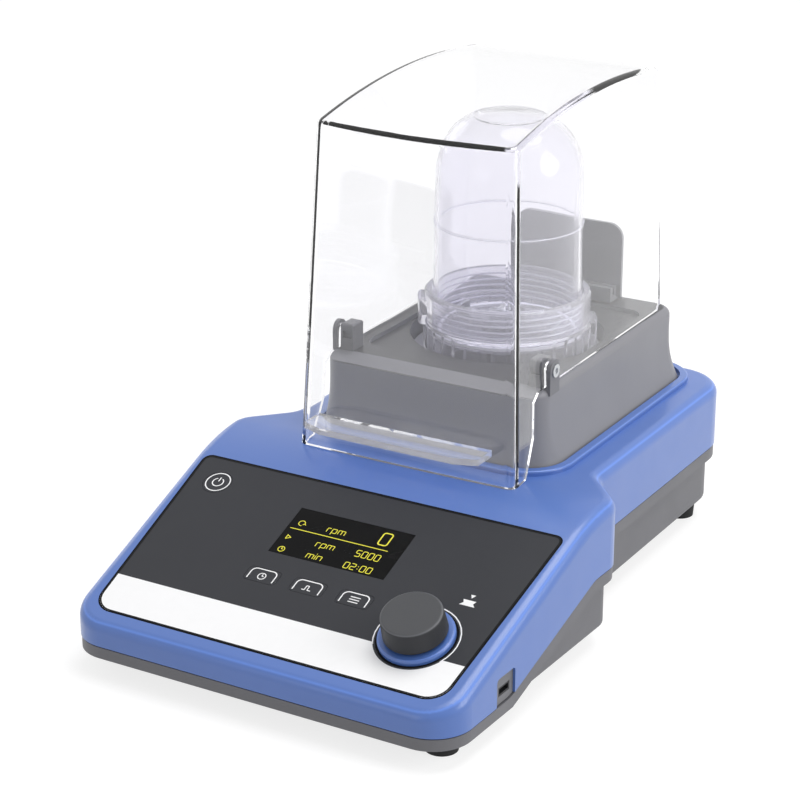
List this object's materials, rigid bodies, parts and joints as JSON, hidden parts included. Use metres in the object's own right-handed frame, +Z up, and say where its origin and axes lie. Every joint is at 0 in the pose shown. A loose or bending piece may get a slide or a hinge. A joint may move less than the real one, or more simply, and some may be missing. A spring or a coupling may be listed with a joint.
{
  "type": "tube mill",
  "caption": "Bench tube mill: sloping control panel, raised platform with a domed grinding tube, clear hinged hood.",
  "frame": {"origin": "middle of the footprint, on the surface that the feet stand on", "axes": "+Z up, -Y towards the user at the control panel, +X to the user's right"},
  "size_m": [0.1626, 0.255, 0.1895],
  "materials": {
    "blue_shell": "satin",
    "grey_shell": "matte",
    "platform_grey": "satin",
    "foil_print": "satin",
    "display_glass": "gloss",
    "dark_plastic": "matte",
    "knob_plastic": "satin",
    "board": "satin",
    "rubber": "matte",
    "steel": "brushed",
    "can_steel": "satin",
    "aluminium": "satin",
    "magnet": "satin",
    "hood_clear": "clear gloss",
    "tube_frost": "frosted"
  },
  "bodies": {
    "base": {"upper_housing": "blue_shell", "lower_housing": "grey_shell", "rubber_feet": "rubber", "housing_screws": "steel", "platform_housing": "platform_grey", "platform_screws": "steel", "tube_holder": "platform_grey", "drive_seal": "rubber", "guide_post_left": "platform_grey", "guide_post_right": "platform_grey", "post_pins": "steel", "control_foil": "foil_print", "display_window": "display_glass", "display_module": "dark_plastic", "control_board": "board", "board_screws": "steel", "key_switches": "dark_plastic", "encoder_body": "dark_plastic", "drive_board": "board", "heat_sink": "aluminium", "capacitors": "dark_plastic", "power_inlet": "dark_plastic", "interface_panel": "platform_grey", "interface_socket": "dark_plastic", "motor_can": "can_steel", "motor_endcap": "aluminium", "motor_bearings": "steel", "motor_magnets": "magnet", "motor_bracket": "aluminium", "motor_dampers": "rubber", "bracket_screws": "steel", "hinge_pin": "steel", "lid_sensor": "dark_plastic"},
    "hood_body": {"hood": "hood_clear", "hood_handle": "hood_clear", "hinge_plate": "platform_grey", "hood_magnet": "magnet"},
    "tube_body": {"tube_base": "tube_frost", "beater_bearing": "steel"},
    "seal_body": {"tube_seal": "rubber"},
    "cup_body": {"tube_cup": "tube_frost"},
    "rotor_body": {"rotor_core": "can_steel", "motor_shaft": "steel", "cooling_fan": "dark_plastic", "drive_coupling": "steel"},
    "beater_body": {"beater_shaft": "steel", "beater_blade": "steel"},
    "plunger_body": {"encoder_plunger": "steel"},
    "knob_body": {"knob": "knob_plastic", "knob_spindle": "aluminium"},
    "power_button": {"power_key": "foil_print"},
    "timer_button": {"timer_key": "foil_print"},
    "interval_button": {"interval_key": "foil_print"},
    "menu_button": {"menu_key": "foil_print"}
  },
  "joints": [
    {"name": "hood_hinge", "type": "hinge", "parent": "base", "child": "hood_body", "pos_m": [0, 0.1178, 0.0848], "axis": [-1, 0, 0], "range_deg": [0, 95]},
    {"name": "tube_twist", "type": "hinge", "parent": "base", "child": "tube_body", "pos_m": [0, 0.0555, 0.08], "axis": [0, 0, 1], "range_deg": [0, 35]},
    {"name": "cup_lift", "type": "slide", "parent": "tube_body", "child": "seal_body", "axis": [0, 0, 1], "range_m": [0, 0.0061]},
    {"name": "cup_turn", "type": "hinge", "parent": "seal_body", "child": "cup_body", "pos_m": [0, 0.0555, 0.1], "axis": [0, 0, 1], "range_deg": [0, 360]},
    {"name": "motor_spin", "type": "hinge", "parent": "base", "child": "rotor_body", "pos_m": [0, 0.0555, 0.045], "axis": [0, 0, 1], "continuous": true},
    {"name": "beater_spin", "type": "hinge", "parent": "base", "child": "beater_body", "pos_m": [0, 0.0555, 0.085], "axis": [0, 0, 1], "continuous": true},
    {"name": "knob_press", "type": "slide", "parent": "base", "child": "plunger_body", "axis": [0, 0.342, -0.9397], "range_m": [0, 0.0006], "stiffness_N_per_m": 800, "springref_m": -0.0004},
    {"name": "knob_turn", "type": "hinge", "parent": "plunger_body", "child": "knob_body", "pos_m": [0.0488, -0.09776, 0.03213], "axis": [0, -0.342, 0.9397], "continuous": true},
    {"name": "power_press", "type": "slide", "parent": "base", "child": "power_button", "axis": [0, 0.342, -0.9397], "range_m": [0, 0.0004], "stiffness_N_per_m": 600, "springref_m": -0.0003},
    {"name": "timer_press", "type": "slide", "parent": "base", "child": "timer_button", "axis": [0, 0.342, -0.9397], "range_m": [0, 0.0004], "stiffness_N_per_m": 600, "springref_m": -0.0003},
    {"name": "interval_press", "type": "slide", "parent": "base", "child": "interval_button", "axis": [0, 0.342, -0.9397], "range_m": [0, 0.0004], "stiffness_N_per_m": 600, "springref_m": -0.0003},
    {"name": "menu_press", "type": "slide", "parent": "base", "child": "menu_button", "axis": [0, 0.342, -0.9397], "range_m": [0, 0.0004], "stiffness_N_per_m": 600, "springref_m": -0.0003}
  ],
  "couplings": [
    {"joint": "cup_lift", "follows": "cup_turn", "m_per_rad": 0.00095493},
    {"joint": "beater_spin", "follows": "motor_spin", "ratio": 1}
  ]
}
